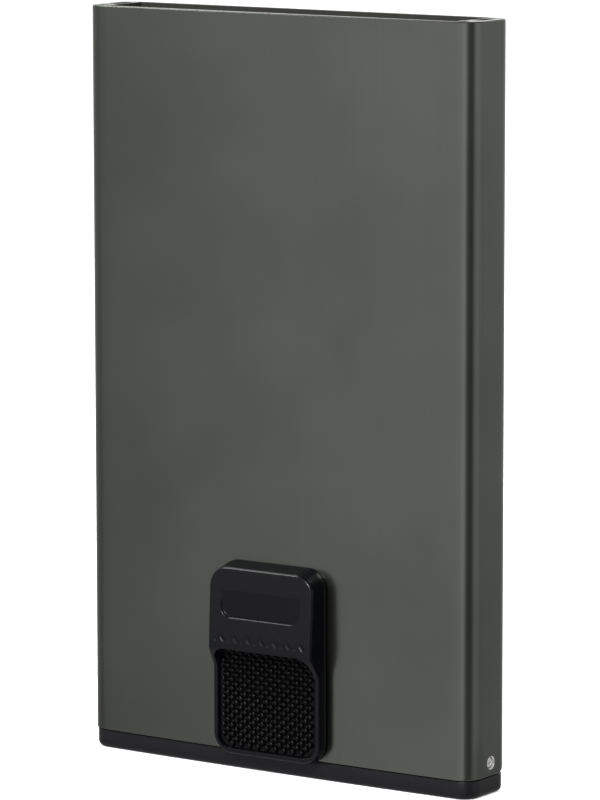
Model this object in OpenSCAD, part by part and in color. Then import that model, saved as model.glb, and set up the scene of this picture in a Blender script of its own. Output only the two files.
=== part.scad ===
// Slim pop-up card wallet. A one-piece extruded sleeve stands on a base cap, and a thumb slider on its
// front pushes the cards up out of the open top on a stepped lifter.
// X runs across the width, -Y is the front and +Z is up. The origin is the middle of the base's underside.

/* [Sleeve] */
// Height from the underside of the base to the rim
total_h = 100.4; // [96:0.1:110]
// Outside width of the sleeve
shell_w = 61; // [60.5:0.5:64]
// Outside thickness at the middle of the sleeve
shell_t = 9.9; // [9.9:0.1:11]
// Outside radius of the upright corners
corner_r = 2.6; // [2:0.1:3.5]
// How far the front bulges between its corners
crown = 0.4; // [0.2:0.05:0.6]
// Thickness of the front wall at its middle
front_wall = 1; // [0.9:0.05:1.2]
// Thickness of the back wall
back_wall = 0.9; // [0.8:0.05:1.2]
// Clear width between the side walls
inner_w = 55; // [54.6:0.1:55.2]

/* [Cards] */
// Width of a standard card
card_w = 53.98; // [53.9:0.01:54.1]
// Height of a standard card
card_h = 85.6; // [85.4:0.1:85.8]
// How far a stored card stays below the rim
card_below_rim = 0.9; // [0.5:0.1:2]
// Number of steps on the lifter
steps = 5; // [3:1:6]

/* [Base] */
// Height of the base cap
cap_h = 2.5; // [2:0.1:3]
// Shadow gap between the base cap and the sleeve
seam = 0.15; // [0.1:0.05:0.3]
// Rounding of the underside's edges
cap_r = 0.8; // [0.5:0.1:1.5]

/* [Slider] */
// Width of the thumb slider
slider_w = 16.8; // [14:0.1:20]
// Height of the thumb slider
slider_h = 26; // [24:0.1:28]
// How far the low frame around the grip stands off the front
frame_proud = 1.85; // [1.6:0.05:2.2]
// How far the thumb block stands off the front at its foot
block_proud = 3.45; // [3.1:0.05:3.8]
// How far the thumb block stands off the front near its top
block_top_proud = 2.95; // [2.6:0.05:3.1]
// Travel of the slider
travel = 18.5; // [15:0.5:18.5]
// Width of the slot in the front wall
slot_w = 7; // [6:0.5:8]

/* [Grip pad] */
// Distance between bumps in a row
bump_pitch = 1.38; // [1.2:0.02:1.8]
// Distance between rows of bumps
row_pitch = 0.615; // [0.6:0.005:0.8]
// Side of one bump's foot
bump_side = 0.62; // [0.4:0.02:0.7]
// Height of a bump above the pad
bump_h = 0.45; // [0.2:0.05:0.5]

/* [Fasteners] */
// Diameter of the side screws
side_screw_d = 1.4; // [1.2:0.1:2]
// Height of the side screws above the table
side_screw_z = 4.4; // [4:0.1:4.8]
// Thread diameter of the small inner screws
screw_d = 1.6; // [1.4:0.1:1.6]
// Head diameter of the small inner screws
head_d = 2.4; // [2.2:0.1:2.5]

/* [Hidden] */
$fn = 48;
E = 0.5; // overshoot of a cut

// The sleeve's outline
front_y = -shell_t / 2;
back_y = shell_t / 2;
corner_x = shell_w / 2 - corner_r;
crown_r = (corner_x * corner_x + crown * crown) / (2 * crown);
crown_y = front_y + crown_r;
crown_steps = 32;
front_corner_y = crown_y - sqrt(pow(crown_r - corner_r, 2) - corner_x * corner_x);
back_corner_y = back_y - corner_r;

// The sleeve's inside
shell_z = cap_h + seam;
inner_front_y = front_y + front_wall;
inner_back_y = back_y - back_wall;
groove_x = inner_w / 2 + 1.4;
groove_d = 1.25;
rib_t = 0.7;
rib_in = 0.6;
port_x = [inner_w / 2 + 0.45, inner_w / 2 + 1.85];
port_y = [-1.1, 3.1];

// The base insert and the card rests
insert_z = 1;
insert_inset = 1.2;
cap_inset = 0.15;
cards_z = total_h - card_below_rim - card_h;
rest_x = [20.5, inner_w / 2 - 0.2];
rest_y = [inner_front_y + groove_d + rib_t + 0.1, inner_back_y - 0.2];
leg_gap = 0.05;
leg_h = 6;
screw_y = 0.3;

// The slider's outside
slider_z = shell_z - 0.4;
slider_top = slider_z + slider_h;
slider_back_y = front_y - 0.1;
frame_y = front_y - frame_proud;
block_y = front_y - block_proud;
block_top_y = front_y - block_top_proud;
pocket_w = slider_w - 1.8;
pocket_z = [slider_z + 1, slider_z + 14.45];
pocket_y = front_y - 1.1;
pocket_r = 1.7;
pad_t = 0.3;
chevrons = 7;
chevron_pitch = 2.1;
chevron_z = 18.4;
scoop_w = 12.4;
scoop_z = [21.1, 24.7];
scoop_d = 0.35;

// The carriage behind the front wall
plate_y = [inner_front_y + 0.2, inner_front_y + 1];
plate_z = [3.3, 27.3];
plate_x = inner_w / 2 - 0.2;
stem_w = slot_w - 0.3;
stem_z = [3.5, 7.9];
slot_top = stem_z[1] + travel + 0.5;
slider_screw_x = 2;
slider_screw_z = 5.7;
tongue_x = groove_x - 0.5;
tongue_h = 3;
shoe_x = [plate_x, groove_x - 0.08];
shoe_y = [inner_front_y + 0.07, inner_front_y + groove_d - 0.08];
shoe_h = 4.6;
shoe_z = [plate_z[0] + 0.2, plate_z[1] - 0.2 - shoe_h];
spring_x = 14;
spring_w = 3;
spring_t = 0.15;
spring_z = [15.8, 25.8];
spring_bow = 0.75;
bumper_x = 12;

// The lifter
lifter_w = 38;
flange_t = 0.5;
step_t = 1.1;
step_h = 1.95;
lifter_top = cards_z - 0.1;
lifter_screw_x = 12;
lifter_screw_z = plate_z[0] + 1.3;

// The grip strips on the back wall
strip_x = [20.5, 25.5];
strip_z = [24, 84];
strip_t = 0.4;

// ---- Shared shapes ----

// A solid between two corners
module block(low, high) {
    translate(low) cube(high - low);
}

// A flat outline in X and Z, drawn through from y0 to y1
module along_y(y0, y1) {
    translate([0, y1, 0]) rotate([90, 0, 0]) linear_extrude(y1 - y0) children();
}

// A flat outline in Y and Z, drawn through from x0 to x1
module along_x(x0, x1) {
    translate([x0, 0, 0]) rotate([90, 0, 90]) linear_extrude(x1 - x0) children();
}

// A rectangle between two corners with round corners
module round_rect(low, high, r) {
    translate([low[0] + r, low[1]]) square([high[0] - low[0] - 2 * r, high[1] - low[1]]);
    translate([low[0], low[1] + r]) square([high[0] - low[0], high[1] - low[1] - 2 * r]);
    for (x = [low[0] + r, high[0] - r], y = [low[1] + r, high[1] - r])
        translate([x, y]) circle(r);
}

// A rectangle whose two lower corners are round
module round_foot(half_w, h, r) {
    translate([-half_w + r, 0]) square([2 * (half_w - r), h]);
    translate([-half_w, r]) square([2 * half_w, h - r]);
    for (s = [-1, 1]) translate([s * (half_w - r), r]) circle(r);
}

// The sleeve's outline, moved inwards by inset. The front is a shallow arc, in short straight steps,
// whose ends lie just inside the corners' circles, so that the two cross cleanly.
module sleeve_outline(inset = 0) {
    tuck = 0.005;
    r = corner_r - inset;
    reach = (crown_r - inset) / (crown_r - corner_r);
    touch_x = corner_x * reach;
    for (s = [-1, 1], y = [front_corner_y, back_corner_y])
        translate([s * corner_x, y]) circle(r);
    translate([-shell_w / 2 + inset, front_corner_y])
        square([shell_w - 2 * inset, back_corner_y - front_corner_y]);
    translate([-corner_x, back_corner_y]) square([2 * corner_x, r]);
    polygon(concat(
        [[touch_x, front_corner_y], [-touch_x, front_corner_y]],
        [for (i = [0 : crown_steps])
            let (x = touch_x * (2 * i / crown_steps - 1), end = i == 0 || i == crown_steps)
            [x, crown_y - sqrt(pow(crown_r - inset, 2) - x * x) + (end ? tuck : 0)]]
    ));
}

// The sleeve's inside: the card room, with a guide groove and its rib along each side
module cavity_outline() {
    half = [
        [groove_x, inner_front_y],
        [groove_x, inner_front_y + groove_d],
        [inner_w / 2 - rib_in, inner_front_y + groove_d],
        [inner_w / 2 - rib_in, inner_front_y + groove_d + rib_t],
        [inner_w / 2, inner_front_y + groove_d + rib_t],
        [inner_w / 2, inner_back_y]
    ];
    last = len(half) - 1;
    polygon(concat(half, [for (i = [0 : last]) [-half[last - i][0], half[last - i][1]]]));
}

// The hollow inside one side wall, s = -1 on the left and 1 on the right
module port_outline(s, gap = 0) {
    w = port_x[1] - port_x[0] - 2 * gap;
    middle = s * (port_x[0] + port_x[1]) / 2;
    translate([middle - w / 2, port_y[0] + w / 2]) square([w, port_y[1] - port_y[0] - w]);
    for (y = [port_y[0] + w / 2, port_y[1] - w / 2]) translate([middle, y]) circle(w / 2);
}

// ---- The case ----

module side_hole(s) {
    chamfer = 0.15;
    hole_r = side_screw_d / 2 + 0.05;
    translate([s * (shell_w / 2), screw_y, side_screw_z]) rotate([0, s * 90, 0]) {
        translate([0, 0, -1.6]) cylinder(h = 1.6 + E, r = hole_r);
        translate([0, 0, -chamfer]) cylinder(h = chamfer, r1 = hole_r, r2 = hole_r + chamfer);
    }
}

module shell() {
    color([0.36, 0.37, 0.36]) difference() {
        translate([0, 0, shell_z]) linear_extrude(total_h - shell_z) difference() {
            sleeve_outline();
            cavity_outline();
            port_outline(-1);
            port_outline(1);
        }
        along_y(front_y - E, inner_front_y + E)
            round_rect([-slot_w / 2, shell_z - 2], [slot_w / 2, slot_top], 1);
        side_hole(-1);
        side_hole(1);
    }
}

module base_cap() {
    color([0.13, 0.13, 0.15]) difference() {
        intersection() {
            linear_extrude(cap_h) sleeve_outline(cap_inset);
            along_x(-shell_w, shell_w) round_foot(shell_t / 2 - cap_inset, cap_h, cap_r);
            along_y(-shell_t, shell_t) round_foot(shell_w / 2 - cap_inset, cap_h, cap_r);
        }
        translate([0, 0, insert_z]) linear_extrude(cap_h) sleeve_outline(insert_inset);
    }
}

module base_insert() {
    color([0.2, 0.2, 0.21]) difference() {
        union() {
            translate([0, 0, insert_z]) linear_extrude(shell_z - insert_z) sleeve_outline(insert_inset);
            for (s = [-1, 1]) {
                translate([0, 0, shell_z]) linear_extrude(leg_h) port_outline(s, leg_gap);
                block(
                    [s > 0 ? rest_x[0] : -rest_x[1], rest_y[0], shell_z],
                    [s > 0 ? rest_x[1] : -rest_x[0], rest_y[1], cards_z]
                );
            }
        }
        for (s = [-1, 1]) translate([s * (port_x[0] + leg_gap + 0.1), screw_y, side_screw_z])
            rotate([0, s * 90, 0]) cylinder(h = 3, d = side_screw_d);
    }
}

// A headless screw with a cross recess, run in through the side wall
module side_screw(s) {
    inner = port_x[0] + leg_gap + 0.1;
    outer = shell_w / 2 - 0.25;
    color([0.75, 0.75, 0.74]) translate([0, screw_y, side_screw_z]) rotate([0, s * 90, 0])
        difference() {
            translate([0, 0, inner]) cylinder(h = outer - inner, d = side_screw_d);
            for (turn = [0, 90]) rotate([0, 0, turn])
                block([-0.5, -0.1, outer - 0.4], [0.5, 0.1, outer + E]);
        }
}

module side_screw_left() { side_screw(-1); }
module side_screw_right() { side_screw(1); }

module grip_strip(s) {
    x0 = s > 0 ? strip_x[0] : -strip_x[1];
    x1 = s > 0 ? strip_x[1] : -strip_x[0];
    color([0.1, 0.1, 0.11]) along_y(inner_back_y - strip_t, inner_back_y)
        round_rect([x0, strip_z[0]], [x1, strip_z[1]], 1);
}

module grip_strip_left() { grip_strip(-1); }
module grip_strip_right() { grip_strip(1); }

module stop_bumper(s) {
    color([0.16, 0.16, 0.16]) translate([s * bumper_x, 0, shell_z])
        linear_extrude(plate_z[0] - 0.1 - shell_z)
            round_rect([-3, plate_y[0]], [3, plate_y[1]], 0.35);
}

module stop_bumper_left() { stop_bumper(-1); }
module stop_bumper_right() { stop_bumper(1); }

// ---- The slider ----

// The thumb slider seen from the side, as Y and Z
module slider_side() {
    tip_r = 0.8;
    foot_r = 0.35;
    polygon([
        [slider_back_y, slider_z],
        [frame_y + foot_r, slider_z],
        [frame_y, slider_z + foot_r],
        [frame_y, slider_z + 11.8],
        [block_y, pocket_z[1]],
        [block_y, pocket_z[1] + 1.6],
        [block_top_y, slider_top - 2 * tip_r],
        [block_top_y + 0.25, slider_top - tip_r],
        [block_top_y + 0.8, slider_top - 0.2],
        [block_top_y + 1.3, slider_top],
        [slider_back_y, slider_top]
    ]);
}

module slider_body() {
    intersection() {
        along_x(-slider_w, slider_w) slider_side();
        along_y(block_y - 1, slider_back_y)
            round_rect([-slider_w / 2, slider_z], [slider_w / 2, slider_top], 2.2);
    }
}

// A hollow for the tip of the thumb: sharp below, running out above
module scoop() {
    slope = (block_top_y - block_y) / (slider_top - 1.6 - pocket_z[1] - 1.6);
    face_y = [for (z = scoop_z) block_y + slope * (z - pocket_z[1] - 1.6)];
    intersection() {
        along_x(-scoop_w, scoop_w) polygon([
            [face_y[0] + scoop_d, scoop_z[0]],
            [face_y[1], scoop_z[1]],
            [block_y - E, scoop_z[1]],
            [block_y - E, scoop_z[0]]
        ]);
        along_y(block_y - 1, frame_y)
            round_rect([-scoop_w / 2, scoop_z[0]], [scoop_w / 2, scoop_z[1] + 3], 1.4);
    }
}

// A row of small arrowheads that point the way the slider goes
module chevron_row() {
    w = 0.65;
    rise = 0.65;
    bar = 0.55;
    along_y(block_y - E, block_y + 0.2)
        for (i = [0 : chevrons - 1])
            translate([(i - (chevrons - 1) / 2) * chevron_pitch, chevron_z]) polygon([
                [-w, -rise], [0, 0], [w, -rise],
                [w, -rise + bar], [0, bar], [-w, -rise + bar]
            ]);
}

// The outline of the grip's pocket, moved inwards by gap
module pocket_outline(gap = 0) {
    half_w = pocket_w / 2 - gap;
    round_rect([-half_w, pocket_z[0] + gap], [half_w, pocket_z[1] - gap], pocket_r - gap);
}

module slider_button() {
    color([0.14, 0.14, 0.155]) difference() {
        union() {
            slider_body();
            block([-stem_w / 2, slider_back_y - 0.1, stem_z[0]], [stem_w / 2, plate_y[0], stem_z[1]]);
        }
        along_y(block_y - 1, pocket_y) pocket_outline();
        scoop();
        chevron_row();
        for (s = [-1, 1]) translate([s * slider_screw_x, plate_y[0] + E, slider_screw_z])
            rotate([90, 0, 0]) cylinder(h = E + 1.35, d = screw_d);
    }
}

// A rubber sheet in the slider's pocket with staggered rows of bumps
module grip_pad() {
    gap = 0.05;
    edge = 0.55;
    sheet_y = pocket_y - pad_t;
    columns = floor((pocket_w - 2 * edge) / bump_pitch) + 1;
    rows = floor((pocket_z[1] - pocket_z[0] - 2 * edge) / row_pitch) + 1;
    middle_z = (pocket_z[0] + pocket_z[1]) / 2;
    corner = [pocket_w / 2 - pocket_r, pocket_z[1] - middle_z - pocket_r];
    spots = [
        for (row = [0 : rows - 1], column = [0 : columns - 1 - row % 2])
            [(column + (row % 2) / 2 - (columns - 1) / 2) * bump_pitch, (row - (rows - 1) / 2) * row_pitch]
    ];
    color([0.11, 0.11, 0.12]) {
        along_y(sheet_y, pocket_y) pocket_outline(gap);
        along_y(sheet_y - bump_h, sheet_y)
            for (spot = spots)
                if (norm([max(abs(spot[0]) - corner[0], 0), max(abs(spot[1]) - corner[1], 0)]) < pocket_r - 0.5)
                    translate([spot[0], middle_z + spot[1]]) rotate(45) square(bump_side, center = true);
    }
}

// The plate that runs in the sleeve's guide grooves
module carriage() {
    color([0.62, 0.63, 0.64]) difference() {
        along_y(plate_y[0], plate_y[1]) {
            round_rect([-plate_x, plate_z[0]], [plate_x, plate_z[1]], 0.5);
            for (z = shoe_z) translate([-tongue_x, z + (shoe_h - tongue_h) / 2])
                square([2 * tongue_x, tongue_h]);
        }
        for (s = [-1, 1]) {
            translate([s * spring_x, 0, 0]) block(
                [-spring_w / 2 - 0.2, plate_y[0] - E, spring_z[0]],
                [spring_w / 2 + 0.2, plate_y[1] + E, spring_z[1]]
            );
            translate([s * slider_screw_x, plate_y[1], slider_screw_z]) rotate([90, 0, 0]) {
                translate([0, 0, -E]) cylinder(h = 2, d = screw_d);
                translate([0, 0, -E]) cylinder(h = 0.45 + E, d = head_d);
            }
            translate([s * lifter_screw_x, plate_y[0], lifter_screw_z]) rotate([-90, 0, 0]) {
                translate([0, 0, -E]) cylinder(h = 2, d = screw_d);
                translate([0, 0, -E]) cylinder(h = 0.45 + E, d = head_d);
            }
        }
    }
}

// Steps that lift the cards one after another, the rearmost first
module lifter() {
    floor_z = plate_z[0] + 0.1;
    steps_y = plate_y[1] + flange_t;
    foot_top = lifter_top - (steps - 1) * step_h;
    color([0.24, 0.24, 0.25]) difference() {
        union() {
            block([-lifter_w / 2, plate_y[1], floor_z], [lifter_w / 2, steps_y, foot_top]);
            for (i = [0 : steps - 1]) block(
                [-lifter_w / 2, steps_y + i * step_t, floor_z],
                [lifter_w / 2, steps_y + (i + 1) * step_t, foot_top + i * step_h]
            );
        }
        for (s = [-1, 1]) translate([s * lifter_screw_x, plate_y[1] - E, lifter_screw_z])
            rotate([-90, 0, 0]) cylinder(h = 2.6 + E, d = screw_d);
    }
}

// A small cheese-head screw along +Z with a cross recess, its head's top at z = 0
module small_screw(length) {
    head_h = 0.45;
    color([0.7, 0.7, 0.7]) difference() {
        union() {
            translate([0, 0, -head_h]) cylinder(h = head_h, d = head_d);
            translate([0, 0, -length]) cylinder(h = length - head_h / 2, d = screw_d);
        }
        for (turn = [0, 90]) rotate([0, 0, turn]) block([-0.7, -0.14, -0.3], [0.7, 0.14, E]);
    }
}

module slider_screw(s) {
    translate([s * slider_screw_x, plate_y[1], slider_screw_z]) rotate([-90, 0, 0]) small_screw(2.1);
}

module lifter_screw(s) {
    translate([s * lifter_screw_x, plate_y[0], lifter_screw_z]) rotate([90, 0, 0]) small_screw(3.3);
}

module slider_screw_left() { slider_screw(-1); }
module slider_screw_right() { slider_screw(1); }
module lifter_screw_left() { lifter_screw(-1); }
module lifter_screw_right() { lifter_screw(1); }

// A slippery shoe on one of the carriage's four tongues, running in a guide groove
module glide_shoe(s, z) {
    color([0.85, 0.85, 0.82]) mirror([s > 0 ? 0 : 1, 0, 0]) difference() {
        along_y(shoe_y[0], shoe_y[1]) round_rect([shoe_x[0], z], [shoe_x[1], z + shoe_h], 0.5);
        block(
            [shoe_x[0] - E, plate_y[0], z + (shoe_h - tongue_h) / 2],
            [tongue_x, plate_y[1], z + (shoe_h + tongue_h) / 2]
        );
    }
}

module glide_shoe_lower_left() { glide_shoe(-1, shoe_z[0]); }
module glide_shoe_lower_right() { glide_shoe(1, shoe_z[0]); }
module glide_shoe_upper_left() { glide_shoe(-1, shoe_z[1]); }
module glide_shoe_upper_right() { glide_shoe(1, shoe_z[1]); }

// A bowed steel strip that rubs on the front wall, so that the slider stays where it is put
module detent_spring(s) {
    half = (spring_z[1] - spring_z[0]) / 2;
    bow_r = (half * half + spring_bow * spring_bow) / (2 * spring_bow);
    apex_y = inner_front_y + 0.03;
    color([0.6, 0.6, 0.62]) translate([s * spring_x, apex_y, spring_z[0] + half]) intersection() {
        translate([-spring_w / 2, bow_r, 0]) rotate([0, 90, 0]) difference() {
            cylinder(h = spring_w, r = bow_r, $fn = 360);
            translate([0, 0, -E]) cylinder(h = spring_w + 2 * E, r = bow_r - spring_t, $fn = 360);
        }
        block([-spring_w, -1, -half], [spring_w, spring_bow + spring_t, half]);
    }
}

module detent_spring_left() { detent_spring(-1); }
module detent_spring_right() { detent_spring(1); }

shell();
base_cap();
base_insert();
side_screw_left();
side_screw_right();
grip_strip_left();
grip_strip_right();
stop_bumper_left();
stop_bumper_right();
slider_button();
grip_pad();
carriage();
lifter();
slider_screw_left();
slider_screw_right();
lifter_screw_left();
lifter_screw_right();
glide_shoe_lower_left();
glide_shoe_lower_right();
glide_shoe_upper_left();
glide_shoe_upper_right();
detent_spring_left();
detent_spring_right();
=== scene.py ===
"""Looks of a slim pop-up card wallet: an anodised sleeve on a black base cap, with a black thumb slider.

Everything is in metres and in the frame's own axes: X across the width, -Y the front, +Z up.
Shapes are drawn in millimetres and scaled by MM when they become meshes.
"""

import math

import bmesh
import bpy
import numpy as np
from mathutils import Matrix, Vector, geometry


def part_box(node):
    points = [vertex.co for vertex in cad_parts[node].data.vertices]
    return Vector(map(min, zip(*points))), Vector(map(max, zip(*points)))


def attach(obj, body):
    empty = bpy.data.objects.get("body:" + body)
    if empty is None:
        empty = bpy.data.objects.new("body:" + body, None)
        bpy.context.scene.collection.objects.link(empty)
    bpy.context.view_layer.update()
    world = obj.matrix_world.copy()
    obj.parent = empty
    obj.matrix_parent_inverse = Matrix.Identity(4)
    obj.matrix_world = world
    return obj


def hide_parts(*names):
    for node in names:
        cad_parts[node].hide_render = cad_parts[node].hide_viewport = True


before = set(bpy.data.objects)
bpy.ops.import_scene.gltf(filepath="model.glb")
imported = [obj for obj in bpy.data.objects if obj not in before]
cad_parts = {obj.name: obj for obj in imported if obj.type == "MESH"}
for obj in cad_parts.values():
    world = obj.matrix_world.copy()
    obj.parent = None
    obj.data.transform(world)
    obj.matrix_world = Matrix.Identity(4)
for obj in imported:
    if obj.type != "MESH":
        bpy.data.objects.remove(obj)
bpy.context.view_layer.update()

MM = 0.001


def box_mm(node):
    """Lowest and highest corner of a CAD node, in millimetres."""
    low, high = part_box(node)
    return [v / MM for v in low], [v / MM for v in high]


# ---- Sizes, worked out from the frame ----

SHELL_LOW, SHELL_HIGH = box_mm("shell")
CAP_HIGH = box_mm("base_cap")[1]
BUTTON_LOW, BUTTON_HIGH = box_mm("slider_button")
SCREW_LOW, SCREW_HIGH = box_mm("side_screw_right")
CARRIAGE_FRONT_Y = box_mm("carriage")[0][1]

SCREW_Y = (SCREW_LOW[1] + SCREW_HIGH[1]) / 2
SCREW_Z = (SCREW_LOW[2] + SCREW_HIGH[2]) / 2
SCREW_R = (SCREW_HIGH[2] - SCREW_LOW[2]) / 2

HALF_W = SHELL_HIGH[0]
FRONT_Y = SHELL_LOW[1]
BACK_Y = SHELL_HIGH[1]
RIM_Z = SHELL_HIGH[2]
SHELL_FOOT_Z = SHELL_LOW[2]

CORNER_R = 2.6
CROWN = 0.4
CORNER_X = HALF_W - CORNER_R
CROWN_R = (CORNER_X ** 2 + CROWN ** 2) / (2 * CROWN)
CROWN_CENTRE_Y = FRONT_Y + CROWN_R
FRONT_CORNER_Y = CROWN_CENTRE_Y - math.sqrt((CROWN_R - CORNER_R) ** 2 - CORNER_X ** 2)
BACK_CORNER_Y = BACK_Y - CORNER_R

INNER_W = 27.5
INNER_FRONT_Y = FRONT_Y + 1.0
INNER_BACK_Y = BACK_Y - 0.9
GROOVE_X = INNER_W + 1.4
GROOVE_Y = INNER_FRONT_Y + 1.25
RIB_X = INNER_W - 0.6
RIB_Y = GROOVE_Y + 0.7
PORT_X = (INNER_W + 0.45, INNER_W + 1.85)
PORT_Y = (-1.1, 3.1)
SLOT_HALF_W = 3.5
SLOT_TOP_Z = 26.9
INSERT_INSET = 1.2
INSERT_Z = 1.0

# ---- Mesh helpers ----


def new_object(name, vertices, faces, materials, sharp_deg=32.0, face_materials=None):
    """A mesh object from points in millimetres, smooth shaded apart from its sharp edges."""
    mesh = bpy.data.meshes.new(name)
    mesh.from_pydata([[c * MM for c in v] for v in vertices], [], faces)
    for m in materials:
        mesh.materials.append(m)
    if face_materials is not None:
        mesh.polygons.foreach_set("material_index", face_materials)
    obj = bpy.data.objects.new(name, mesh)
    bpy.context.scene.collection.objects.link(obj)
    bm = bmesh.new()
    bm.from_mesh(mesh)
    bmesh.ops.remove_doubles(bm, verts=bm.verts, dist=1e-7)
    bmesh.ops.recalc_face_normals(bm, faces=bm.faces)
    bm.to_mesh(mesh)
    bm.free()
    smooth(obj, sharp_deg)
    return obj


def smooth(obj, sharp_deg):
    """Smooth shading with edges over an angle left sharp."""
    mesh = obj.data
    mesh.polygons.foreach_set("use_smooth", [True] * len(mesh.polygons))
    mesh.set_sharp_from_angle(angle=math.radians(sharp_deg))
    mesh.update()


def ring_faces(first, second, count, flip=False):
    """Quads between two closed rings of vertex numbers that start at first and second."""
    faces = []
    for i in range(count):
        j = (i + 1) % count
        quad = (first + i, first + j, second + j, second + i)
        faces.append(quad[::-1] if flip else quad)
    return faces


def prism_faces(n):
    """The faces of a closed prism whose two ends are rings of n vertices, one after the other."""
    return ring_faces(0, n, n) + [tuple(range(n)), tuple(range(2 * n - 1, n - 1, -1))]


def fill_with_holes(loops):
    """Triangles that fill the first flat loop around the others, as numbers over all loops in a row."""
    points = [Vector(p) for loop in loops for p in loop]
    edges = []
    start = 0
    for loop in loops:
        n = len(loop)
        edges += [(start + i, start + (i + 1) % n) for i in range(n)]
        start += n
    # Type 1 keeps the faces inside the outline. Holes are taken out by their middle points.
    triangles = geometry.delaunay_2d_cdt(points, edges, [], 1, 1e-6)[2]
    kept = []
    for t in triangles:
        middle = sum((points[i] for i in t), Vector((0, 0))) / 3
        if inside(middle, loops[0]) and not any(inside(middle, hole) for hole in loops[1:]):
            kept.append(tuple(t))
    return kept


def inside(p, loop):
    """True if a flat point lies inside a loop."""
    found = False
    n = len(loop)
    for i in range(n):
        (x0, y0), (x1, y1) = loop[i], loop[(i + 1) % n]
        if (y0 > p[1]) != (y1 > p[1]) and p[0] < (x1 - x0) * (p[1] - y0) / (y1 - y0) + x0:
            found = not found
    return found


def arc(centre, r, start_deg, end_deg, steps):
    """Points along an arc, both ends included."""
    found = []
    for i in range(steps + 1):
        a = math.radians(start_deg + (end_deg - start_deg) * i / steps)
        found.append((centre[0] + r * math.cos(a), centre[1] + r * math.sin(a)))
    return found


def rounded_rectangle(half_w, low, high, r, steps):
    """A counterclockwise outline from low to high with round corners."""
    found = arc((half_w - r, low + r), r, 270, 360, steps)
    found += arc((half_w - r, high - r), r, 0, 90, steps)
    found += arc((-half_w + r, high - r), r, 90, 180, steps)
    found += arc((-half_w + r, low + r), r, 180, 270, steps)
    return found


def offset_loop(loop, distance):
    """A closed counterclockwise loop moved outwards by distance, with mitred corners."""
    n = len(loop)
    moved = []
    for i in range(n):
        a, b, c = Vector(loop[i - 1]), Vector(loop[i]), Vector(loop[(i + 1) % n])
        u, v = (b - a).normalized(), (c - b).normalized()
        normal_u, normal_v = Vector((u.y, -u.x)), Vector((v.y, -v.x))
        middle = (normal_u + normal_v).normalized()
        reach = distance / max(0.3, middle.dot(normal_u))
        moved.append(tuple(b + middle * reach))
    return moved


def sleeve_outline(inset=0.0):
    """The sleeve's outline seen from above, counterclockwise, moved inwards by inset."""
    corner_steps, front_steps = 20, 40
    r = CORNER_R - inset
    tilt = math.degrees(math.asin(CORNER_X / (CROWN_R - CORNER_R)))
    big = CROWN_R - inset
    front = arc((0, CROWN_CENTRE_Y), big, 270 - tilt, 270 + tilt, front_steps)
    points = front[1:]
    points += arc((CORNER_X, FRONT_CORNER_Y), r, 270 + tilt, 360, corner_steps)[1:]
    points += arc((CORNER_X, BACK_CORNER_Y), r, 0, 90, corner_steps)
    points += arc((-CORNER_X, BACK_CORNER_Y), r, 90, 180, corner_steps)
    points += arc((-CORNER_X, FRONT_CORNER_Y), r, 180, 270 - tilt, corner_steps)
    return points


def foot_outline(ease):
    """The sleeve's outline with its two narrow sides drawn in by ease, for the rounding under them."""
    found = []
    for x, y in sleeve_outline():
        side = max(0.0, abs(x) - CORNER_X) / CORNER_R
        found.append((x - math.copysign(ease * side ** 3, x), y))
    return found


def foot_lift(x, y):
    """How far the sleeve's foot is eased up at its two back corners, where light shows above the cap."""
    most = 0.5
    side = max(0.0, abs(x) - CORNER_X) / CORNER_R
    back = max(0.0, y - BACK_CORNER_Y) / CORNER_R
    return most * 2 * side * back


def stadium(s):
    """The hollow in one side wall, s = -1 on the left and 1 on the right, counterclockwise."""
    steps = 10
    r = (PORT_X[1] - PORT_X[0]) / 2
    x = s * (PORT_X[0] + PORT_X[1]) / 2
    top = arc((x, PORT_Y[1] - r), r, 0, 180, steps)
    foot = arc((x, PORT_Y[0] + r), r, 180, 360, steps)
    return top + foot


def cavity():
    """The card room with its guide grooves and ribs, counterclockwise."""
    r = 0.45
    half = arc((GROOVE_X - r, INNER_FRONT_Y + r), r, 270, 360, 6)
    half += [(GROOVE_X, GROOVE_Y), (RIB_X, GROOVE_Y), (RIB_X, RIB_Y)]
    half += [(INNER_W, RIB_Y), (INNER_W, INNER_BACK_Y)]
    return half + [(-x, y) for x, y in half[::-1]]


# ---- Material helpers ----


def set_stops(ramp, stops):
    """Gives a ramp node its stops, a list of (position, colour or grey)."""
    element = ramp.color_ramp.elements
    while len(element) < len(stops):
        element.new(0.5)
    for e, (position, colour) in zip(element, stops):
        e.position = position
        e.color = (colour, colour, colour, 1) if isinstance(colour, float) else (*colour, 1)


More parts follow.
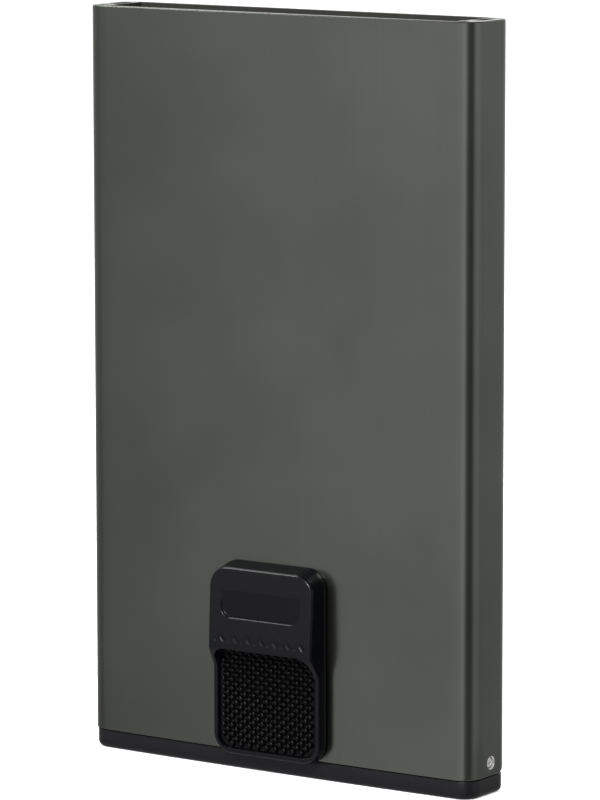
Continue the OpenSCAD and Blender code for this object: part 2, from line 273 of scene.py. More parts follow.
class Nodes:
    """A short way to write a material's nodes."""

    def __init__(self, name):
        """Starts a material and keeps its shader and its object coordinates."""
        self.material = bpy.data.materials.new(name)
        self.material.use_nodes = True
        self.tree = self.material.node_tree
        self.shader = self.tree.nodes["Principled BSDF"]
        self.place = self.add("ShaderNodeTexCoord").outputs["Object"]

    def add(self, kind, **values):
        """A new node. Each value goes to the input or the setting of that name."""
        node = self.tree.nodes.new(kind)
        for key, value in values.items():
            if key in node.inputs:
                node.inputs[key].default_value = value
            else:
                setattr(node, key, value)
        return node

    def link(self, out, to):
        """Joins an output to an input."""
        self.tree.links.new(out, to)

    def set(self, **values):
        """Plain values on the Principled shader's sockets."""
        for key, value in values.items():
            self.shader.inputs[key.replace("_", " ")].default_value = value

    def stretched(self, scale):
        """Object coordinates scaled by a different amount along each axis."""
        node = self.add("ShaderNodeMapping")
        node.inputs["Scale"].default_value = scale
        self.link(self.place, node.inputs["Vector"])
        return node.outputs["Vector"]

    def noise(self, scale, detail=3.0, roughness=0.5, vector=None):
        """A noise texture, in object coordinates unless a vector is given."""
        node = self.add("ShaderNodeTexNoise", Scale=scale, Detail=detail, Roughness=roughness)
        self.link(vector or self.place, node.inputs["Vector"])
        return node.outputs["Fac"]

    def ramp(self, fac, stops):
        """A colour or grey ramp. stops is a list of (position, colour or grey)."""
        node = self.add("ShaderNodeValToRGB")
        self.link(fac, node.inputs["Fac"])
        set_stops(node, stops)
        return node.outputs["Color"]

    def bump(self, height, strength, distance_mm, normal=None):
        """A normal bent by a height, on top of another bump's normal if one is given."""
        node = self.add("ShaderNodeBump", Strength=strength, Distance=distance_mm * MM)
        self.link(height, node.inputs["Height"])
        if normal is not None:
            self.link(normal, node.inputs["Normal"])
        return node.outputs["Normal"]


def shades(colour, spread):
    """A darker and a lighter shade of a colour."""
    return [tuple(c * (1 - spread) for c in colour), tuple(c * (1 + spread) for c in colour)]


def anodised():
    """Gunmetal anodising on extruded aluminium: fine grain with faint lines along the height."""
    n = Nodes("anodised_gunmetal")
    cloud = n.noise(60.0, 2.0)
    low, high = shades((0.108, 0.115, 0.103), 0.06)
    n.link(n.ramp(cloud, [(0.35, low), (0.65, high)]), n.shader.inputs["Base Color"])
    grain = n.noise(5200.0, 2.0, 0.6)
    lines = n.noise(1.0, 2.0, 0.5, n.stretched((3800.0, 3800.0, 45.0)))
    n.link(n.ramp(lines, [(0.3, 0.21), (0.7, 0.26)]), n.shader.inputs["Roughness"])
    fine = n.bump(grain, 0.05, 0.02)
    n.link(n.bump(lines, 0.035, 0.02, fine), n.shader.inputs["Normal"])
    n.set(Metallic=1.0)
    return n.material


def anodised_inside_painted_shade():
    """The anodising on the rougher inside of the extrusion, with die lines along the height. It is a
    darker, less metallic copy of the outside's, which paints the shade inside the sleeve.
    """
    n = Nodes("anodised_inside_painted_shade")
    lines = n.noise(1.0, 3.0, 0.6, n.stretched((1500.0, 1500.0, 20.0)))
    # Painted shade: the base colour is about a third of the outside's and is metallic only in part, so
    # the shadowed inside renders dark. The die lines vary it.
    low, high = shades((0.034, 0.035, 0.031), 0.15)
    n.link(n.ramp(lines, [(0.3, low), (0.7, high)]), n.shader.inputs["Base Color"])
    n.link(n.bump(lines, 0.2, 0.02), n.shader.inputs["Normal"])
    n.set(Metallic=0.35, Roughness=0.6, Specular_IOR_Level=0.2)
    return n.material


def cut_metal():
    """Bare aluminium where the extrusion was sawn, drilled or chamfered."""
    n = Nodes("bare_cut_aluminium")
    low, high = shades((0.7, 0.7, 0.68), 0.15)
    marks = n.noise(1.0, 3.0, 0.6, n.stretched((900.0, 5200.0, 900.0)))
    n.link(n.ramp(marks, [(0.3, low), (0.7, high)]), n.shader.inputs["Base Color"])
    n.link(n.ramp(marks, [(0.3, 0.26), (0.7, 0.42)]), n.shader.inputs["Roughness"])
    n.link(n.bump(marks, 0.12, 0.02), n.shader.inputs["Normal"])
    n.set(Metallic=1.0)
    return n.material


def moulded(name, colour, roughness, grain_scale=4200.0, grain=0.12, level=0.5):
    """Moulded plastic with a fine spark-eroded grain."""
    n = Nodes(name)
    low, high = shades(colour, 0.12)
    n.link(n.ramp(n.noise(160.0, 3.0), [(0.3, low), (0.7, high)]), n.shader.inputs["Base Color"])
    speck = n.noise(grain_scale, 2.0, 0.6)
    sheen = n.ramp(speck, [(0.25, roughness - 0.05), (0.75, roughness + 0.05)])
    n.link(sheen, n.shader.inputs["Roughness"])
    n.link(n.bump(speck, grain, 0.03), n.shader.inputs["Normal"])
    n.set(IOR=1.5, Specular_IOR_Level=level)
    return n.material


def steel(name, colour, roughness, scale, bump):
    """Bare steel or sheet metal with a fine rolled or blasted texture."""
    n = Nodes(name)
    low, high = shades(colour, 0.1)
    speck = n.noise(scale, 3.0, 0.6)
    n.link(n.ramp(speck, [(0.3, low), (0.7, high)]), n.shader.inputs["Base Color"])
    sheen = n.ramp(speck, [(0.3, roughness - 0.06), (0.7, roughness + 0.08)])
    n.link(sheen, n.shader.inputs["Roughness"])
    n.link(n.bump(speck, bump, 0.03), n.shader.inputs["Normal"])
    n.set(Metallic=1.0)
    return n.material


ANODISED = anodised()
# The inside's material is the anodising darkened as painted shade
ANODISED_INSIDE_PAINTED_SHADE = anodised_inside_painted_shade()
CUT_METAL = cut_metal()
CAP_BLACK = moulded("cap_black", (0.0030, 0.0028, 0.0041), 0.40, level=0.2)
SLIDER_BLACK = moulded("slider_black", (0.0011, 0.0012, 0.0020), 0.24, 5200.0, 0.05, 0.195)
INSERT_GREY = moulded("insert_grey", (0.03, 0.03, 0.032), 0.5)
PAD_RUBBER = moulded("pad_rubber", (0.0003, 0.0003, 0.0004), 0.14, 6000.0, 0.03, 0.12)
SOFT_BLACK = moulded("soft_black", (0.015, 0.015, 0.016), 0.7, 3000.0, 0.4)
SHOE_WHITE = moulded("shoe_white", (0.62, 0.62, 0.58), 0.35)
PLATE_METAL = steel("carriage_aluminium", (0.5, 0.51, 0.52), 0.34, 2600.0, 0.06)
SCREW_STEEL = steel("screw_steel", (0.86, 0.86, 0.85), 0.34, 3400.0, 0.6)
SPRING_STEEL = steel("spring_steel", (0.55, 0.55, 0.57), 0.3, 1800.0, 0.08)

# ---- The sleeve ----


def cutter(name, vertices, faces, material):
    """A solid that is only there to be cut out of another."""
    obj = new_object(name, vertices, faces, [material])
    obj.hide_render = True
    return obj


def prism(name, outline, y0, y1, material):
    """A cutter: an outline in X and Z drawn through from y0 to y1."""
    vertices = [(x, y, z) for y in (y0, y1) for x, z in outline]
    return cutter(name, vertices, prism_faces(len(outline)), material)


def lathe_x(profile, y, z, steps=48):
    """Vertices and faces turned about an axis along X. profile is (x, radius), 0 at a closed end."""
    vertices, faces, starts = [], [], []
    for x, r in profile:
        starts.append(len(vertices))
        if r == 0:
            vertices.append((x, y, z))
            continue
        for i in range(steps):
            a = 2 * math.pi * i / steps
            vertices.append((x, y + r * math.cos(a), z + r * math.sin(a)))
    for k in range(len(profile) - 1):
        a, b = starts[k], starts[k + 1]
        if profile[k][1] == 0:
            faces += [(a, b + i, b + (i + 1) % steps) for i in range(steps)]
        elif profile[k + 1][1] == 0:
            faces += [(a + i, b, a + (i + 1) % steps) for i in range(steps)]
        else:
            faces += ring_faces(a, b, steps)
    return vertices, faces


def subtract(obj, tool):
    """Cuts tool out of obj for good. The new faces take the tool's material."""
    modifier = obj.modifiers.new("cut", "BOOLEAN")
    modifier.operation = "DIFFERENCE"
    modifier.object = tool
    modifier.solver = "EXACT"
    modifier.material_mode = "TRANSFER"
    bake_modifiers(obj)
    bpy.data.objects.remove(tool)


def bake_modifiers(obj):
    """Puts what the modifiers make into the mesh itself."""
    bpy.context.view_layer.update()
    graph = bpy.context.evaluated_depsgraph_get()
    mesh = bpy.data.meshes.new_from_object(obj.evaluated_get(graph), depsgraph=graph)
    obj.modifiers.clear()
    obj.data = mesh


def make_sleeve():
    """The extrusion: its outer skin, card room and ports, with a fine chamfer at the rim."""
    chamfer = 0.14
    foot_round = 0.15
    outside, inside_wall = 0, 1
    vertices, faces, kinds = [], [], []

    def add_ring(outline, z):
        """One ring of vertices. Near the foot it follows the easing at the back corners."""
        raised = z - SHELL_FOOT_Z < foot_round
        vertices.extend((x, y, z + (foot_lift(x, y) if raised else 0.0)) for x, y in outline)
        return len(vertices) - len(outline)

    def skin(levels, flip, kind):
        """A wall through rings. levels is a list of (outline, z)."""
        count = len(levels[0][0])
        starts = [add_ring(outline, z) for outline, z in levels]
        for first, second in zip(starts, starts[1:]):
            band = ring_faces(first, second, count, flip)
            faces.extend(band)
            kinds.extend([kind] * len(band))
        return starts[0], starts[-1], count

    # The outside. Its foot is eased more at the sides than along the flats.
    levels = []
    for i in range(6):
        a = math.radians(90 * i / 5)
        ease = foot_round * (1 - math.sin(a))
        levels.append((foot_outline(ease), SHELL_FOOT_Z + foot_round * (1 - math.cos(a))))
    for z in np.linspace(SHELL_FOOT_Z + 6, RIM_Z - 6, 12):
        levels.append((sleeve_outline(), float(z)))
    levels.append((sleeve_outline(), RIM_Z - chamfer))
    levels.append((sleeve_outline(chamfer), RIM_Z))
    ends = [skin(levels, False, outside)]

    # The inside, in the darkened anodising that paints the shade inside the sleeve
    for hole in (cavity(), stadium(-1), stadium(1)):
        wide = offset_loop(hole, chamfer / 2)
        levels = [(hole, SHELL_FOOT_Z), (hole, RIM_Z - chamfer / 2), (wide, RIM_Z)]
        ends.append(skin(levels, True, inside_wall))

    # The two end faces
    for which in (0, 1):
        starts = [e[which] for e in ends]
        loops = [[vertices[s + i][:2] for i in range(e[2])] for s, e in zip(starts, ends)]
        numbers = [s + i for s, e in zip(starts, ends) for i in range(e[2])]
        for t in fill_with_holes(loops):
            face = tuple(numbers[i] for i in t)
            faces.append(face if which else face[::-1])
            kinds.append(outside)

    obj = new_object("sleeve", vertices, faces, [ANODISED, ANODISED_INSIDE_PAINTED_SHADE], 28, kinds)
    cut_slot(obj)
    for s in (-1, 1):
        cut_side_hole(obj, s)
    smooth(obj, 28)
    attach(obj, "case")
    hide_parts("shell")


def cut_slot(sleeve):
    """Cuts the slider's slot through the front wall."""
    slot = [(-SLOT_HALF_W, SHELL_FOOT_Z - 2), (SLOT_HALF_W, SHELL_FOOT_Z - 2)]
    slot += arc((SLOT_HALF_W - 1, SLOT_TOP_Z - 1), 1, 0, 90, 8)
    slot += arc((-SLOT_HALF_W + 1, SLOT_TOP_Z - 1), 1, 90, 180, 8)
    subtract(sleeve, prism("slot_cutter", slot, FRONT_Y - 1, INNER_FRONT_Y + 0.6, ANODISED))


def cut_side_hole(sleeve, s):
    """Drills and chamfers one side screw's hole."""
    chamfer, depth, past = 0.15, 1.6, 1.0
    r = SCREW_R + 0.05
    profile = [(HALF_W - depth, 0), (HALF_W - depth, r), (HALF_W - chamfer, r), (HALF_W, r + chamfer)]
    profile += [(HALF_W + past, r + chamfer + past), (HALF_W + past, 0)]
    vertices, faces = lathe_x([(s * x, radius) for x, radius in profile], SCREW_Y, SCREW_Z)
    subtract(sleeve, cutter("hole_cutter", vertices, faces, CUT_METAL))


# ---- The base cap ----


def make_cap():
    """The moulded cap: round under its edges, with a hairline shadow gap under the sleeve."""
    inset = HALF_W - CAP_HIGH[0]
    round_r = 0.8
    ease = 0.12
    top_z = CAP_HIGH[2]
    levels = []
    for i in range(9):
        a = math.radians(90 * i / 8)
        levels.append((inset + round_r * (1 - math.sin(a)), round_r * (1 - math.cos(a))))
    levels += [(inset, top_z - ease), (inset + ease / 3, top_z - ease / 3), (inset + ease, top_z)]
    vertices, faces = [], []
    starts = []
    for step, z in levels:
        starts.append(len(vertices))
        vertices.extend((x, y, z) for x, y in sleeve_outline(step))
    n = len(sleeve_outline())
    for k in range(len(levels) - 1):
        faces += ring_faces(starts[k], starts[k + 1], n)
    # Underside, with a shallow step around a flat panel
    under = [starts[0]]
    foot = inset + round_r
    for step, z in ((1.0, 0.0), (1.08, 0.12), (1.25, 0.12), (1.33, 0.0)):
        under.append(len(vertices))
        scale_x = (HALF_W - foot - step) / (HALF_W - foot)
        scale_y = (BACK_Y - foot - step) / (BACK_Y - foot)
        vertices.extend((x * scale_x, y * scale_y, z) for x, y in sleeve_outline(foot))
    for a, b in zip(under, under[1:]):
        faces += ring_faces(b, a, n)
    faces.append(tuple(range(under[-1] + n - 1, under[-1] - 1, -1)))
    # The top, with the hollow that the insert's plate fills
    hollow = []
    for z in (top_z, INSERT_Z):
        hollow.append(len(vertices))
        vertices.extend((x, y, z) for x, y in sleeve_outline(INSERT_INSET))
    faces += ring_faces(starts[-1], hollow[0], n)
    faces += ring_faces(hollow[0], hollow[1], n)
    faces.append(tuple(range(hollow[1], hollow[1] + n)))
    obj = new_object("cap", vertices, faces, [CAP_BLACK], 35)
    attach(obj, "case")
    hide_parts("base_cap")


# ---- The side screws ----


def make_side_screw(s, node):
    """A headless screw with a cross recess, sunk a little below the sleeve's side."""
    r, y, z = SCREW_R, SCREW_Y, SCREW_Z
    inner, outer = SCREW_LOW[0], SCREW_HIGH[0]
    profile = [(inner, 0), (inner, r - 0.15), (inner + 0.15, r)]
    turns = 5
    pitch = (outer - inner - 0.5) / turns
    for i in range(turns):
        x = inner + 0.2 + i * pitch
        profile += [(x, r), (x + pitch * 0.45, r - 0.1), (x + pitch * 0.6, r - 0.1)]
    profile += [(outer - 0.22, r), (outer - 0.1, r - 0.02), (outer - 0.02, r - 0.1)]
    profile += [(outer, r - 0.22), (outer, 0)]
    vertices, faces = lathe_x([(s * x, radius) for x, radius in profile], y, z, 40)
    obj = new_object(node + "_steel", vertices, faces, [SCREW_STEEL], 30)
    arm, half, depth = 0.46, 0.1, 0.25
    cross = [(arm, -half), (arm, half), (half, half), (half, arm), (-half, arm), (-half, half),
             (-arm, half), (-arm, -half), (-half, -half), (-half, -arm), (half, -arm), (half, -half)]
    ends = ((outer + 0.2, 1.0), (outer - depth, 0.8))
    vertices = [(s * x, y + a * k, z + b * k) for x, k in ends for a, b in cross]
    subtract(obj, cutter("cross_cutter", vertices, prism_faces(len(cross)), SCREW_STEEL))
    smooth(obj, 30)
    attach(obj, "case")
    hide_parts(node)


# ---- The thumb slider ----

SLIDER_Z = BUTTON_LOW[2]
SLIDER_TOP = BUTTON_HIGH[2]
SLIDER_HALF_W = BUTTON_HIGH[0]
SLIDER_BACK = 0.1
FRAME_PROUD = 1.85
BLOCK_PROUD = -BUTTON_LOW[1] + FRONT_Y
BLOCK_TOP_PROUD = 2.95
RAMP_Z = (SLIDER_Z + 11.6, SLIDER_Z + 14.6)
SHOULDER_Z = SLIDER_Z + 16.0
DRAFT = 0.15
OUTLINE_R = 2.8
FACE_HALF_W = SLIDER_HALF_W - 0.23
FACE_Z = (SLIDER_Z + 0.2, SLIDER_TOP - 0.55)
FACE_R = OUTLINE_R - 0.1
STEM_Z = (SLIDER_Z + 1.25, SLIDER_Z + 5.65)
POCKET_HALF_W = SLIDER_HALF_W - 0.9
POCKET_Z = (SLIDER_Z + 1.0, SLIDER_Z + 14.45)
POCKET_R = 1.7
POCKET_PROUD = 1.1
SCOOP_HALF_W = 6.2
SCOOP_Z = (21.1, 24.7)
SCOOP_R = 1.4
SCOOP_DEPTH = 0.45
CHEVRON_Z = 18.4
CHEVRON_PITCH = 2.1
CHEVRONS = 7
CHEVRON_DEPTH = 0.14
CHEVRON_LINE = (0.13, 0.31)


def smoothstep(low, high, value):
    """A smooth step from 0 at low to 1 at high."""
    t = np.clip((value - low) / (high - low), 0, 1)
    return t * t * (3 - 2 * t)


def rounded_box_distance(x, z, half_w, low, high, r):
    """Distance outside a rounded rectangle, negative inside."""
    middle = (low + high) / 2
    qx = np.abs(x) - (half_w - r)
    qz = np.abs(z - middle) - ((high - low) / 2 - r)
    return np.hypot(np.maximum(qx, 0), np.maximum(qz, 0)) + np.minimum(np.maximum(qx, qz), 0) - r


def slider_profile(z):
    """How far the slider's face stands off the sleeve's front at height z."""
    low = np.full_like(z, FRAME_PROUD)
    slope = (BLOCK_TOP_PROUD - BLOCK_PROUD) / (SLIDER_TOP - 1.6 - SHOULDER_Z)
    block = BLOCK_PROUD + slope * np.maximum(z - SHOULDER_Z, 0)
    share = np.clip((z - RAMP_Z[0]) / (RAMP_Z[1] - RAMP_Z[0]), 0, 1)
    eased = share * 0.5 + 0.5 * share * share * (3 - 2 * share)
    return low + (block - low) * eased


def pocket_mask(x, z):
    """1 inside the grip's pocket and 0 outside."""
    soft = 0.06
    return smoothstep(soft, -soft, rounded_box_distance(x, z, POCKET_HALF_W, *POCKET_Z, POCKET_R))


def chevron_distance(x, z):
    """Distance to the middle lines of a row of small upward arrowheads."""
    nearest = np.full_like(x, 1e3)
    foot_z, reach, rise = CHEVRON_Z - 0.42, 0.62, 0.7
    for i in range(CHEVRONS):
        middle = (i - (CHEVRONS - 1) / 2) * CHEVRON_PITCH
        for s in (-1, 1):
            foot_x, run = middle + s * reach, -s * reach
            along = ((x - foot_x) * run + (z - foot_z) * rise) / (run ** 2 + rise ** 2)
            t = np.clip(along, 0, 1)
            nearest = np.minimum(nearest, np.hypot(x - foot_x - t * run, z - foot_z - t * rise))
    return nearest


def slider_height(x, z, edge):
    """How far the slider's face stands off the sleeve. edge is the distance in from its outline."""
    proud = slider_profile(z)
    # The scoop is deepest at its foot and runs out level before its outline's rounded top
    past, soft = 4, 0.09
    d = rounded_box_distance(x, z, SCOOP_HALF_W, SCOOP_Z[0], SCOOP_Z[1] + past, SCOOP_R)
    fade = np.clip((SCOOP_Z[1] - z) / (SCOOP_Z[1] - SCOOP_Z[0]), 0, 1)
    proud = proud - SCOOP_DEPTH * fade * smoothstep(soft, -soft, d)
    deep, level = CHEVRON_LINE
    proud = proud - CHEVRON_DEPTH * smoothstep(level, deep, chevron_distance(x, z))
    mask = pocket_mask(x, z)
    proud = proud * (1 - mask) + POCKET_PROUD * mask
    # The edge is rounder around the thumb block than around the grip
    r = 0.3 + 0.15 * smoothstep(RAMP_Z[0], SHOULDER_Z, z)
    inside_r = np.maximum(r - edge, 0)
    return proud - (r - np.sqrt(np.maximum(r * r - inside_r * inside_r, 0)))


def edge_lines(r):
    """Distances from the outline, from 0 inwards to r, close together where the edge is round."""
    reach, step = 0.46, 0.09
    near = [reach * (1 - math.cos(math.radians(a))) for a in (0, 15, 28, 40, 52, 64, 76, 90)]
    rest = r - near[-1]
    count = int(round(rest / step))
    return near + [near[-1] + rest * (i + 1) / count for i in range(count)]


def grid_lines(low, high, r, step):
    """Line positions across a side, close together near both ends."""
    near = edge_lines(r)
    count = int(round((high - low - 2 * r) / step))
    middle = [low + r + (high - low - 2 * r) * (i + 1) / count for i in range(count - 1)]
    return np.array([low + d for d in near] + middle + [high - d for d in near[::-1]])


def to_rounded(x, z, half_w, low, high, r):
    """Moves grid points in a rectangle's corner squares so that the rectangle gets round corners."""
    middle = (low + high) / 2
    px = np.maximum(np.abs(x) - (half_w - r), 0) / r
    pz = np.maximum(np.abs(z - middle) - ((high - low) / 2 - r), 0) / r
    both = (px > 0) & (pz > 0)
    length = np.hypot(px, pz)
    k = np.where(both, np.maximum(px, pz) / np.where(length > 0, length, 1), 1)
    x = np.where(both, np.sign(x) * (half_w - r + px * k * r), x)
    z = np.where(both, middle + np.sign(z - middle) * ((high - low) / 2 - r + pz * k * r), z)
    return x, z


def add_slider_walls(vertices, faces, border, back_points):
    """Walls from the border of the slider's face to its outline at the back, and the back itself."""
    n = len(border)
    previous = border
    for share in (0.3, 0.65, 0.93, 1.0):
        start = len(vertices)
        tuck = 0.06 if share == 1.0 else 0.0
        for b, (px, pz) in zip(border, back_points):
            fx, fy, fz = vertices[b]
            vertices.append((
                fx + (px - fx) * share - tuck * math.copysign(1, px),
                fy + (FRONT_Y - SLIDER_BACK - fy) * share,
                fz + (pz - fz) * share,
            ))
        ring = list(range(start, start + n))
        for i in range(n):
            j = (i + 1) % n
            faces.append((previous[i], ring[i], ring[j], previous[j]))
        previous = ring
    faces.append(tuple(previous))


def make_slider():
    """The moulded thumb slider: one face drawn as a height over its outline, with walls and a back."""
    step_x, step_z = 0.13, 0.1
    lines_x = grid_lines(-FACE_HALF_W, FACE_HALF_W, FACE_R, step_x)
    lines_z = grid_lines(*FACE_Z, FACE_R, step_z)
    gx, gz = np.meshgrid(lines_x, lines_z)
    x, z = to_rounded(gx, gz, FACE_HALF_W, *FACE_Z, FACE_R)
    edge = -rounded_box_distance(x, z, FACE_HALF_W, *FACE_Z, FACE_R)
    height = slider_height(x, z, np.maximum(edge, 0))
    # The walls lean in a little, so the face is wider where it is low
    near_wall = smoothstep(3.0, FACE_HALF_W, np.abs(x))
    x = x * (1 + DRAFT * (BLOCK_PROUD - slider_profile(z)) / FACE_HALF_W * near_wall)
    rows, columns = x.shape
    points = zip(x.ravel(), height.ravel(), z.ravel())
    vertices = [(float(a), FRONT_Y - float(h), float(b)) for a, h, b in points]

    def number(row, column):
        """The number of a grid point's vertex."""
        return row * columns + column

    faces = [
        (number(i, j), number(i, j + 1), number(i + 1, j + 1), number(i + 1, j))
        for i in range(rows - 1) for j in range(columns - 1)
    ]
    border = [number(0, j) for j in range(columns)]
    border += [number(i, columns - 1) for i in range(1, rows)]
    border += [number(rows - 1, j) for j in range(columns - 2, -1, -1)]
    border += [number(i, 0) for i in range(rows - 2, 0, -1)]
    back_x, back_z = to_rounded(
        gx * SLIDER_HALF_W / FACE_HALF_W,
        SLIDER_Z + (gz - FACE_Z[0]) * (SLIDER_TOP - SLIDER_Z) / (FACE_Z[1] - FACE_Z[0]),
        SLIDER_HALF_W, SLIDER_Z, SLIDER_TOP, OUTLINE_R,
    )
    back_points = [(float(back_x.ravel()[b]), float(back_z.ravel()[b])) for b in border]
    add_slider_walls(vertices, faces, border, back_points)
    obj = new_object("thumb_slider", vertices, faces, [SLIDER_BLACK], 60)
    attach(obj, "slider")
    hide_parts("slider_button")


def make_stem():
    """The slider's stem, which reaches through the sleeve's slot to the carriage."""
    play, corner_r, overlap = 0.15, 0.4, 0.2
    outline = rounded_rectangle(SLOT_HALF_W - play, *STEM_Z, corner_r, 5)
    ends = (FRONT_Y - overlap, CARRIAGE_FRONT_Y)
    vertices = [(x, y, z) for y in ends for x, z in outline]
    stem = new_object("slider_stem", vertices, prism_faces(len(outline)), [SLIDER_BLACK], 40)
    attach(stem, "slider")


# ---- The grip pad ----


def make_pad():
    """The rubber sheet in the slider's pocket, with staggered rows of small pointed bumps."""
    gap, sheet_proud, tip_up = 0.05, 1.4, 0.45
    pitch, row_pitch, edge = 1.38, 0.615, 0.55
    half_w = POCKET_HALF_W - gap
    low, high = POCKET_Z[0] + gap, POCKET_Z[1] - gap
    outline = rounded_rectangle(half_w, low, high, POCKET_R - gap, 10)
    vertices = [(x, FRONT_Y - proud, z) for proud in (POCKET_PROUD, sheet_proud) for x, z in outline]
    faces = prism_faces(len(outline))
    columns = int((2 * POCKET_HALF_W - 2 * edge) / pitch) + 1
    rows = int((POCKET_Z[1] - POCKET_Z[0] - 2 * edge) / row_pitch) + 1
    middle_z = (POCKET_Z[0] + POCKET_Z[1]) / 2
    # A bump's rings: its radius towards its four ridges, between them, and its height
    rings = (
        (0.56, 0.44, -0.02),
        (0.45, 0.35, 0.08),
        (0.33, 0.3, 0.25),
        (0.24, 0.23, 0.35),
        (0.12, 0.12, 0.43),
    )
    around = 16
    for row in range(rows):
        for column in range(columns - row % 2):
            x = (column + (row % 2) / 2 - (columns - 1) / 2) * pitch
            z = middle_z + (row - (rows - 1) / 2) * row_pitch
            corner_x = max(abs(x) - (POCKET_HALF_W - POCKET_R), 0)
            corner_z = max(abs(z - middle_z) - (POCKET_Z[1] - middle_z - POCKET_R), 0)
            if math.hypot(corner_x, corner_z) >= POCKET_R - 0.5:
                continue
            foot = len(vertices)
            previous = None
            for ridge, flat, up in rings:
                start = len(vertices)
                y = FRONT_Y - sheet_proud - up
                for i in range(around):
                    a = 2 * math.pi * i / around
                    radius = flat + (ridge - flat) * math.cos(2 * a) ** 2
                    vertices.append((x + radius * math.cos(a), y, z + radius * math.sin(a)))
                if previous is not None:
                    faces += ring_faces(previous, start, around)
                previous = start
            vertices.append((x, FRONT_Y - sheet_proud - tip_up, z))
            top = len(vertices) - 1
            faces += [(previous + i, previous + (i + 1) % around, top) for i in range(around)]
            faces.append(tuple(range(foot, foot + around)))
    obj = new_object("thumb_pad", vertices, faces, [PAD_RUBBER], 50)
    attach(obj, "slider")
    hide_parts("grip_pad")


# ---- CAD nodes that keep their own shape ----


def dress(node, material, bevel_mm=0.0):
    """Gives a CAD node its material and, if asked, soft edges."""
    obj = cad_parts[node]
    obj.data.materials.clear()
    obj.data.materials.append(material)
    if bevel_mm:
        modifier = obj.modifiers.new("soft_edges", "BEVEL")
        modifier.width = bevel_mm * MM
        modifier.segments = 2
        modifier.limit_method = "ANGLE"
        modifier.angle_limit = math.radians(40)
        modifier.harden_normals = False


def dress_inner_parts():
    """Materials and soft edges for the parts inside the case."""
    dress("base_insert", INSERT_GREY, 0.12)
    dress("lifter", INSERT_GREY, 0.08)
    dress("carriage", PLATE_METAL, 0.05)
    for side in ("left", "right"):
        dress(f"grip_strip_{side}", SOFT_BLACK, 0.05)
        dress(f"stop_bumper_{side}", SOFT_BLACK, 0.1)
        dress(f"slider_screw_{side}", SCREW_STEEL, 0.04)
        dress(f"lifter_screw_{side}", SCREW_STEEL, 0.04)
        dress(f"detent_spring_{side}", SPRING_STEEL)
        for height in ("lower", "upper"):
            dress(f"glide_shoe_{height}_{side}", SHOE_WHITE, 0.08)


# ---- Stage, light and camera ----


def make_floor():
    """A plain pale floor. Reflections look past it, so that the metal shows the softboxes."""
    n = Nodes("pale_floor")
    n.link(n.ramp(n.noise(3.0, 1.0), [(0.0, 0.895), (1.0, 0.905)]), n.shader.inputs["Base Color"])
    n.set(Roughness=0.9, Emission_Color=(1, 1, 1, 1), Emission_Strength=0.6)
    mesh = bpy.data.meshes.new("floor")
    reach = 12.0
    corners = [(-reach, -reach, 0), (reach, -reach, 0), (reach, reach, 0), (-reach, reach, 0)]
    mesh.from_pydata(corners, [], [(0, 1, 2, 3)])
    mesh.materials.append(n.material)
    obj = bpy.data.objects.new("floor", mesh)
    bpy.context.scene.collection.objects.link(obj)
    obj.visible_glossy = False


class WorldNodes:
    """A short way to write the world's nodes."""

    def __init__(self, tree):
        """Starts from an empty tree."""
        self.tree = tree
        tree.nodes.clear()

    def add(self, kind, **settings):
        """A new node with its settings."""
        node = self.tree.nodes.new(kind)
        for key, value in settings.items():
            setattr(node, key, value)
        return node

    def calc(self, operation, *values):
        """A sum on numbers and outputs."""
        node = self.add("ShaderNodeMath", operation=operation)
        for socket, value in zip(node.inputs, values):
            if isinstance(value, (int, float)):
                socket.default_value = value
            else:
                self.tree.links.new(value, socket)
        return node.outputs[0]

    def between(self, value, low, high):
        """A smooth step from 0 at low to 1 at high."""
        node = self.add("ShaderNodeMapRange", interpolation_type="SMOOTHSTEP")
        self.tree.links.new(value, node.inputs["Value"])
        node.inputs["From Min"].default_value = low
        node.inputs["From Max"].default_value = high
        return node.outputs["Result"]

    def background(self, level):
        """A white background of a level, which is a number or an output."""
        node = self.add("ShaderNodeBackground")
        node.inputs["Color"].default_value = (1, 1, 1, 1)
        if isinstance(level, (int, float)):
            node.inputs["Strength"].default_value = level
        else:
            self.tree.links.new(level, node.inputs["Strength"])
        return node.outputs[0]


# The light around the horizon, as (azimuth in degrees, level). 0 is towards -Y and 90 towards +X.
BRIGHTEST = 1.5
AROUND = (
    (-180, 0.9), (-150, 1.3), (-125, 1.0), (-100, 0.6), (-60, 0.56), (-46, 0.5), (-40, 0.56),
    (-35, 1.15), (-30, 1.18), (-12, 1.15), (4, 1.2), (10, 1.5), (24, 1.5), (33, 0.6), (40, 0.3),
    (66, 0.22), (77, 0.75), (90, 1.15), (103, 1.05), (125, 0.82), (142, 0.74), (160, 0.7), (180, 0.9),
)


def horizon_light(n, azimuth):
    """The light around the horizon at an azimuth."""
    ramp = n.add("ShaderNodeValToRGB")
    n.tree.links.new(n.calc("MULTIPLY_ADD", azimuth, 1 / 360, 0.5), ramp.inputs["Fac"])
    set_stops(ramp, [(degrees / 360 + 0.5, amount / BRIGHTEST) for degrees, amount in AROUND])
    return n.calc("MULTIPLY", ramp.outputs["Color"], BRIGHTEST)


def floor_light(n, azimuth, height, level):
    """Adds the pale table in front of the object and the pale floor around it, as reflections."""
    table_level, floor_level = 0.2, 0.55
    left = n.between(azimuth, -52.0, -30.0)
    right = n.calc("SUBTRACT", 1.0, n.between(azimuth, 18.0, 34.0))
    below = n.calc("SUBTRACT", 1.0, n.between(height, -0.24, -0.09))
    table = n.calc("MULTIPLY", n.calc("MULTIPLY", left, right), below)
    level = n.calc("MULTIPLY_ADD", table, table_level, level)
    floor = n.calc("SUBTRACT", 1.0, n.between(height, -0.52, -0.26))
    return n.calc("MULTIPLY_ADD", floor, floor_level, level)


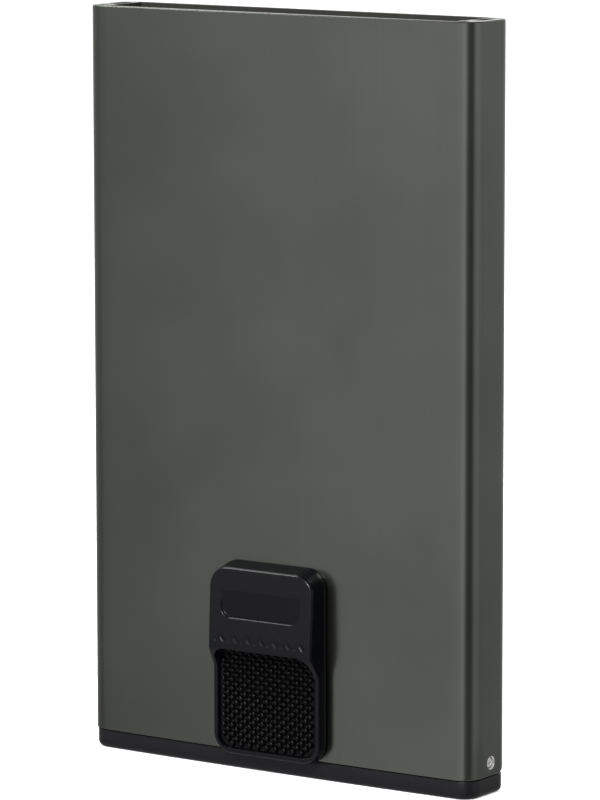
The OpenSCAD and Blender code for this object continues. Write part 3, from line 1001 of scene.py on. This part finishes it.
def make_world():
    """A studio of soft light: a softbox left of the camera, a dark gap, and a softer one on the right."""
    world = bpy.data.worlds.new("studio")
    bpy.context.scene.world = world
    world.use_nodes = True
    n = WorldNodes(world.node_tree)
    place = n.add("ShaderNodeTexCoord")
    parts = n.add("ShaderNodeSeparateXYZ")
    n.tree.links.new(place.outputs["Generated"], parts.inputs[0])
    front = n.calc("MULTIPLY", parts.outputs["Y"], -1.0)
    azimuth = n.calc("MULTIPLY", n.calc("ARCTAN2", parts.outputs["X"], front), 180 / math.pi)
    # height is the sine of the elevation. The light is dimmer towards the floor and overhead.
    height = parts.outputs["Z"]
    floor_share, top_share = 0.08, 0.45
    lift = n.calc("MULTIPLY_ADD", n.between(height, -0.5, 0.02), 1 - floor_share, floor_share)
    fall = n.calc("MULTIPLY_ADD", n.between(height, 0.5, 0.9), top_share - 1, 1.0)
    level = n.calc("MULTIPLY", n.calc("MULTIPLY", horizon_light(n, azimuth), lift), fall)
    level = floor_light(n, azimuth, height, level)
    # The camera itself sees plain white
    seen = n.add("ShaderNodeLightPath")
    mix = n.add("ShaderNodeMixShader")
    out = n.add("ShaderNodeOutputWorld")
    n.tree.links.new(seen.outputs["Is Camera Ray"], mix.inputs["Fac"])
    n.tree.links.new(n.background(level), mix.inputs[1])
    n.tree.links.new(n.background(1.0), mix.inputs[2])
    n.tree.links.new(mix.outputs[0], out.inputs["Surface"])


def direction(azimuth, elevation):
    """The direction at an azimuth and elevation in degrees, from the object outwards."""
    a, e = math.radians(azimuth), math.radians(elevation)
    return Vector((math.sin(a) * math.cos(e), -math.cos(a) * math.cos(e), math.sin(e)))


def softbox(name, azimuth, elevation, distance, side, power, reflected):
    """A square area light that looks at the sleeve's middle from the given side."""
    light = bpy.data.lights.new(name, "AREA")
    light.shape = "SQUARE"
    light.size = side
    light.energy = power
    obj = bpy.data.objects.new(name, light)
    bpy.context.scene.collection.objects.link(obj)
    towards = direction(azimuth, elevation)
    obj.location = Vector((0, 0, 0.05)) + towards * distance
    obj.rotation_euler = (-towards).to_track_quat("-Z", "Y").to_euler()
    obj.visible_glossy = reflected


def make_lights():
    """A large softbox overhead, and two small ones that draw the slider's edges and the grip's tips."""
    softbox("overhead", -35.0, 72.0, distance=1.3, side=1.4, power=12.0, reflected=False)
    softbox("edge_light", 16.0, 36.0, distance=1.0, side=0.25, power=9.0, reflected=True)
    softbox("high_light", -66.0, 47.0, distance=1.0, side=0.3, power=5.0, reflected=True)


def make_camera():
    """The camera stands right of the front and a little above, and looks at the sleeve's middle."""
    azimuth, elevation, roll, distance = 34.26, 8.42, -0.067, 0.64793
    back = direction(azimuth, elevation)
    right = direction(azimuth + 90, 0)
    up = back.cross(right)
    # The frame's middle lies a little beside the sleeve's
    target = Vector((0, 0.0002, 0.0503)) + right * 0.000627 - up * 0.000954
    data = bpy.data.cameras.new("camera")
    data.sensor_width = 36.0
    data.lens = 221.85
    data.clip_start, data.clip_end = 0.05, 50.0
    obj = bpy.data.objects.new("camera", data)
    bpy.context.scene.collection.objects.link(obj)
    turn = Matrix((right, up, back)).transposed() @ Matrix.Rotation(math.radians(roll), 3, "Z")
    obj.matrix_world = Matrix.Translation(target + back * distance) @ turn.to_4x4()
    bpy.context.scene.camera = obj


make_camera()
make_world()
make_floor()
make_lights()
make_sleeve()
make_cap()
make_side_screw(-1, "side_screw_left")
make_side_screw(1, "side_screw_right")
make_slider()
make_stem()
make_pad()
dress_inner_parts()

bpy.context.scene.view_settings.view_transform = "Standard"
